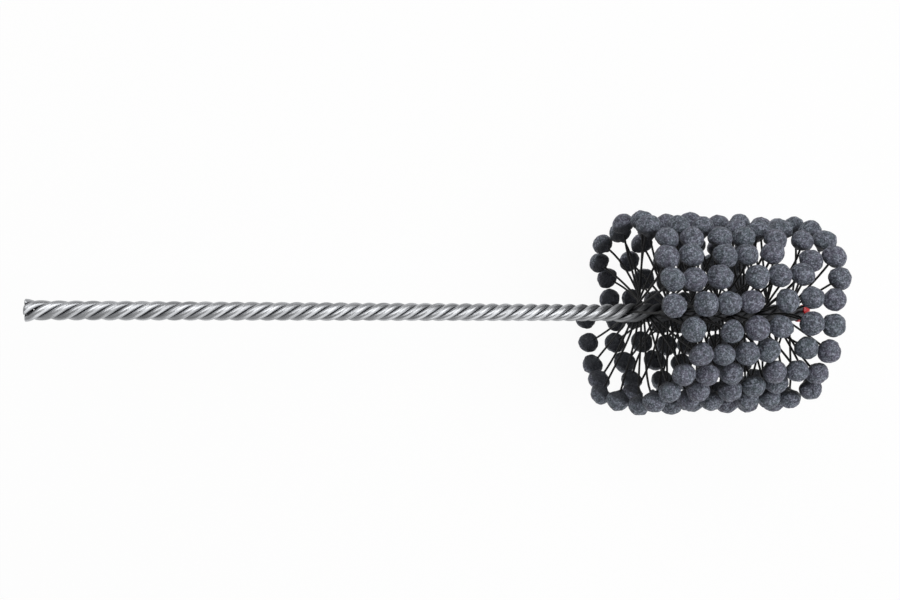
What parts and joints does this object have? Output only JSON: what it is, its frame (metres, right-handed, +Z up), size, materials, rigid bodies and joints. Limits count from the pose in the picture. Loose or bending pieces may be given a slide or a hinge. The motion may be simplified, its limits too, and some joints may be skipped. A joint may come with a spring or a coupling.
{
  "type": "flexible ball hone",
  "caption": "Flexible ball hone: twisted wire stem gripping a bundle of nylon filaments, each tipped with a round abrasive globule, for finishing bores.",
  "frame": {"origin": "centre of the stem's square cut shank end, on the stem's axis", "axes": "+X along the stem from the cut end to the dipped tip, +Z up, +Y across"},
  "size_m": [0.343, 0.0922, 0.0922],
  "materials": {
    "stem_wire": "bright drawn steel wire, lightly streaked along the strands",
    "tip_vinyl": "red dipped vinyl, smooth and glossy",
    "filament_nylon": "black nylon filament with a fine grain of grit",
    "abrasive": "slate grey moulded abrasive grain, matt and finely speckled"
  },
  "bodies": {
    "stem": {"stem_hairpin_a": "stem_wire", "stem_hairpin_b": "stem_wire", "tip_coating": "tip_vinyl", "filaments_01": "filament_nylon", "filaments_02": "filament_nylon", "filaments_03": "filament_nylon", "filaments_04": "filament_nylon", "filaments_05": "filament_nylon", "filaments_06": "filament_nylon", "filaments_07": "filament_nylon", "filaments_08": "filament_nylon", "filaments_09": "filament_nylon", "filaments_10": "filament_nylon", "filaments_11": "filament_nylon", "filaments_12": "filament_nylon"},
    "column_01": {"globule_column_01": "abrasive"},
    "column_02": {"globule_column_02": "abrasive"},
    "column_03": {"globule_column_03": "abrasive"},
    "column_04": {"globule_column_04": "abrasive"},
    "column_05": {"globule_column_05": "abrasive"},
    "column_06": {"globule_column_06": "abrasive"},
    "column_07": {"globule_column_07": "abrasive"},
    "column_08": {"globule_column_08": "abrasive"},
    "column_09": {"globule_column_09": "abrasive"},
    "column_10": {"globule_column_10": "abrasive"},
    "column_11": {"globule_column_11": "abrasive"},
    "column_12": {"globule_column_12": "abrasive"},
    "column_13": {"globule_column_13": "abrasive"},
    "column_14": {"globule_column_14": "abrasive"},
    "column_15": {"globule_column_15": "abrasive"},
    "column_16": {"globule_column_16": "abrasive"},
    "column_17": {"globule_column_17": "abrasive"},
    "column_18": {"globule_column_18": "abrasive"},
    "column_19": {"globule_column_19": "abrasive"},
    "column_20": {"globule_column_20": "abrasive"},
    "column_21": {"globule_column_21": "abrasive"},
    "column_22": {"globule_column_22": "abrasive"},
    "column_23": {"globule_column_23": "abrasive"},
    "column_24": {"globule_column_24": "abrasive"}
  },
  "joints": [
    {"name": "lag_01", "type": "hinge", "parent": "stem", "child": "column_01", "pos_m": [0.28773, 0.00055, 0.00416], "axis": [1, 0, 0], "range_deg": [-25, 25], "stiffness_Nm_per_rad": 0.064, "deforming": ["filaments_01"]},
    {"name": "lag_02", "type": "hinge", "parent": "stem", "child": "column_02", "pos_m": [0.28882, 0.00161, 0.00388], "axis": [1, 0, 0], "range_deg": [-25, 25], "stiffness_Nm_per_rad": 0.064, "deforming": ["filaments_02"]},
    {"name": "lag_03", "type": "hinge", "parent": "stem", "child": "column_03", "pos_m": [0.28992, 0.00256, 0.00333], "axis": [1, 0, 0], "range_deg": [-25, 25], "stiffness_Nm_per_rad": 0.064, "deforming": ["filaments_03"]},
    {"name": "lag_04", "type": "hinge", "parent": "stem", "child": "column_04", "pos_m": [0.29102, 0.00333, 0.00256], "axis": [1, 0, 0], "range_deg": [-25, 25], "stiffness_Nm_per_rad": 0.064, "deforming": ["filaments_04"]},
    {"name": "lag_05", "type": "hinge", "parent": "stem", "child": "column_05", "pos_m": [0.29213, 0.00388, 0.00161], "axis": [1, 0, 0], "range_deg": [-25, 25], "stiffness_Nm_per_rad": 0.064, "deforming": ["filaments_05"]},
    {"name": "lag_06", "type": "hinge", "parent": "stem", "child": "column_06", "pos_m": [0.29323, 0.00416, 0.00055], "axis": [1, 0, 0], "range_deg": [-25, 25], "stiffness_Nm_per_rad": 0.064, "deforming": ["filaments_06"]},
    {"name": "lag_07", "type": "hinge", "parent": "stem", "child": "column_07", "pos_m": [0.28773, 0.00416, -0.00055], "axis": [1, 0, 0], "range_deg": [-25, 25], "stiffness_Nm_per_rad": 0.064, "deforming": ["filaments_07"]},
    {"name": "lag_08", "type": "hinge", "parent": "stem", "child": "column_08", "pos_m": [0.28882, 0.00388, -0.00161], "axis": [1, 0, 0], "range_deg": [-25, 25], "stiffness_Nm_per_rad": 0.064, "deforming": ["filaments_08"]},
    {"name": "lag_09", "type": "hinge", "parent": "stem", "child": "column_09", "pos_m": [0.28992, 0.00333, -0.00256], "axis": [1, 0, 0], "range_deg": [-25, 25], "stiffness_Nm_per_rad": 0.064, "deforming": ["filaments_09"]},
    {"name": "lag_10", "type": "hinge", "parent": "stem", "child": "column_10", "pos_m": [0.29102, 0.00256, -0.00333], "axis": [1, 0, 0], "range_deg": [-25, 25], "stiffness_Nm_per_rad": 0.064, "deforming": ["filaments_10"]},
    {"name": "lag_11", "type": "hinge", "parent": "stem", "child": "column_11", "pos_m": [0.29213, 0.00161, -0.00388], "axis": [1, 0, 0], "range_deg": [-25, 25], "stiffness_Nm_per_rad": 0.064, "deforming": ["filaments_11"]},
    {"name": "lag_12", "type": "hinge", "parent": "stem", "child": "column_12", "pos_m": [0.29323, 0.00055, -0.00416], "axis": [1, 0, 0], "range_deg": [-25, 25], "stiffness_Nm_per_rad": 0.064, "deforming": ["filaments_12"]},
    {"name": "lag_13", "type": "hinge", "parent": "stem", "child": "column_13", "pos_m": [0.28773, -0.00055, -0.00416], "axis": [1, 0, 0], "range_deg": [-25, 25], "stiffness_Nm_per_rad": 0.064, "deforming": ["filaments_01"]},
    {"name": "lag_14", "type": "hinge", "parent": "stem", "child": "column_14", "pos_m": [0.28882, -0.00161, -0.00388], "axis": [1, 0, 0], "range_deg": [-25, 25], "stiffness_Nm_per_rad": 0.064, "deforming": ["filaments_02"]},
    {"name": "lag_15", "type": "hinge", "parent": "stem", "child": "column_15", "pos_m": [0.28992, -0.00256, -0.00333], "axis": [1, 0, 0], "range_deg": [-25, 25], "stiffness_Nm_per_rad": 0.064, "deforming": ["filaments_03"]},
    {"name": "lag_16", "type": "hinge", "parent": "stem", "child": "column_16", "pos_m": [0.29102, -0.00333, -0.00256], "axis": [1, 0, 0], "range_deg": [-25, 25], "stiffness_Nm_per_rad": 0.064, "deforming": ["filaments_04"]},
    {"name": "lag_17", "type": "hinge", "parent": "stem", "child": "column_17", "pos_m": [0.29213, -0.00388, -0.00161], "axis": [1, 0, 0], "range_deg": [-25, 25], "stiffness_Nm_per_rad": 0.064, "deforming": ["filaments_05"]},
    {"name": "lag_18", "type": "hinge", "parent": "stem", "child": "column_18", "pos_m": [0.29323, -0.00416, -0.00055], "axis": [1, 0, 0], "range_deg": [-25, 25], "stiffness_Nm_per_rad": 0.064, "deforming": ["filaments_06"]},
    {"name": "lag_19", "type": "hinge", "parent": "stem", "child": "column_19", "pos_m": [0.28773, -0.00416, 0.00055], "axis": [1, 0, 0], "range_deg": [-25, 25], "stiffness_Nm_per_rad": 0.064, "deforming": ["filaments_07"]},
    {"name": "lag_20", "type": "hinge", "parent": "stem", "child": "column_20", "pos_m": [0.28882, -0.00388, 0.00161], "axis": [1, 0, 0], "range_deg": [-25, 25], "stiffness_Nm_per_rad": 0.064, "deforming": ["filaments_08"]},
    {"name": "lag_21", "type": "hinge", "parent": "stem", "child": "column_21", "pos_m": [0.28992, -0.00333, 0.00256], "axis": [1, 0, 0], "range_deg": [-25, 25], "stiffness_Nm_per_rad": 0.064, "deforming": ["filaments_09"]},
    {"name": "lag_22", "type": "hinge", "parent": "stem", "child": "column_22", "pos_m": [0.29102, -0.00256, 0.00333], "axis": [1, 0, 0], "range_deg": [-25, 25], "stiffness_Nm_per_rad": 0.064, "deforming": ["filaments_10"]},
    {"name": "lag_23", "type": "hinge", "parent": "stem", "child": "column_23", "pos_m": [0.29213, -0.00161, 0.00388], "axis": [1, 0, 0], "range_deg": [-25, 25], "stiffness_Nm_per_rad": 0.064, "deforming": ["filaments_11"]},
    {"name": "lag_24", "type": "hinge", "parent": "stem", "child": "column_24", "pos_m": [0.29323, -0.00055, 0.00416], "axis": [1, 0, 0], "range_deg": [-25, 25], "stiffness_Nm_per_rad": 0.064, "deforming": ["filaments_12"]}
  ],
  "couplings": [
    {"joint": "lag_02", "follows": "lag_01", "ratio": 1},
    {"joint": "lag_03", "follows": "lag_01", "ratio": 1},
    {"joint": "lag_04", "follows": "lag_01", "ratio": 1},
    {"joint": "lag_05", "follows": "lag_01", "ratio": 1},
    {"joint": "lag_06", "follows": "lag_01", "ratio": 1},
    {"joint": "lag_07", "follows": "lag_01", "ratio": 1},
    {"joint": "lag_08", "follows": "lag_01", "ratio": 1},
    {"joint": "lag_09", "follows": "lag_01", "ratio": 1},
    {"joint": "lag_10", "follows": "lag_01", "ratio": 1},
    {"joint": "lag_11", "follows": "lag_01", "ratio": 1},
    {"joint": "lag_12", "follows": "lag_01", "ratio": 1},
    {"joint": "lag_13", "follows": "lag_01", "ratio": 1},
    {"joint": "lag_14", "follows": "lag_01", "ratio": 1},
    {"joint": "lag_15", "follows": "lag_01", "ratio": 1},
    {"joint": "lag_16", "follows": "lag_01", "ratio": 1},
    {"joint": "lag_17", "follows": "lag_01", "ratio": 1},
    {"joint": "lag_18", "follows": "lag_01", "ratio": 1},
    {"joint": "lag_19", "follows": "lag_01", "ratio": 1},
    {"joint": "lag_20", "follows": "lag_01", "ratio": 1},
    {"joint": "lag_21", "follows": "lag_01", "ratio": 1},
    {"joint": "lag_22", "follows": "lag_01", "ratio": 1},
    {"joint": "lag_23", "follows": "lag_01", "ratio": 1},
    {"joint": "lag_24", "follows": "lag_01", "ratio": 1}
  ]
}
